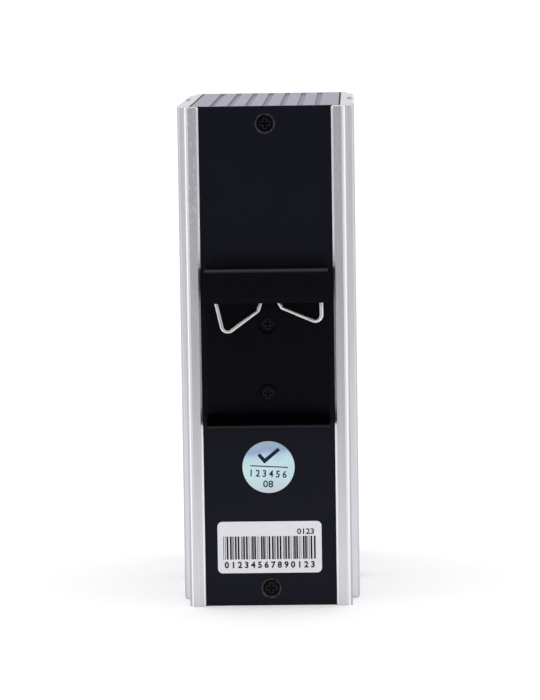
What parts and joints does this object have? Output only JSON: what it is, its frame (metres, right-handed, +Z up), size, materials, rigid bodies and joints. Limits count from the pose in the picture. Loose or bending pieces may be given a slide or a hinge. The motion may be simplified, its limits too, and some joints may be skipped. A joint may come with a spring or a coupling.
{
  "type": "industrial ethernet switch",
  "caption": "Tall narrow network switch with ribbed silver side panels, a black rear plate and a spring-loaded hook bracket for a 35 mm rail.",
  "frame": {"origin": "middle of the overall bounding box in plan, at the bottom of the housing", "axes": "+Z up, front face with the sockets towards -Y, rail bracket towards +Y, +X to the right seen from the front"},
  "size_m": [0.051, 0.1204, 0.144],
  "materials": {
    "silver": "satin anodised, natural silver",
    "black_cover": "matte black anodised extrusion",
    "black_plate": "fine satin black powder coat",
    "bracket": "satin black anodised extrusion",
    "screw": "black oxide",
    "spring": "plain bright spring wire",
    "foil": "silver security foil with a faint blue green shimmer",
    "paper": "white printed polyester label",
    "board": "green solder mask",
    "shield": "tin plated sheet",
    "insert": "black moulded thermoplastic",
    "gold": "gold plated",
    "terminal": "green moulded terminal plastic",
    "steel": "zinc plated steel",
    "clear": "clear acrylic",
    "lamp": "small light emitting chip",
    "chip": "black moulded chip package",
    "pad": "soft grey heat conducting pad",
    "block": "plain milled",
    "ferrite": "dark shielded coil",
    "can": "bare can with a printed top",
    "ceramic_body": "glazed body"
  },
  "bodies": {
    "root": {"side_panel_left": "silver", "side_panel_right": "silver", "top_cover": "black_cover", "bottom_cover": "black_cover", "rear_plate": "black_plate", "front_plate": "black_plate", "rear_plate_screws": "screw", "front_plate_screws": "screw", "din_bracket_screws": "screw", "side_screws_left": "steel", "side_screws_right": "steel", "din_bracket": "bracket", "din_spring": "spring", "inspection_sticker": "foil", "barcode_label": "paper", "circuit_board": "board", "rj45_shield_1": "shield", "rj45_insert_1": "insert", "rj45_shield_2": "shield", "rj45_insert_2": "insert", "rj45_shield_3": "shield", "rj45_insert_3": "insert", "rj45_shield_4": "shield", "rj45_insert_4": "insert", "rj45_contacts": "gold", "sfp_cage_1": "shield", "sfp_cage_2": "shield", "sfp_edge_sockets": "insert", "power_header": "terminal", "power_pins": "steel", "power_plug": "terminal", "power_plug_screws": "steel", "light_pipe": "clear", "status_lamps": "lamp", "switch_chip": "chip", "thermal_pad": "pad", "heat_block": "block", "port_transformers": "chip", "power_inductors": "ferrite", "bulk_capacitors": "can", "regulator_chips": "chip", "flash_chip": "chip", "crystal_oscillator": "steel", "input_fuse": "ceramic_body"}
  },
  "joints": []
}
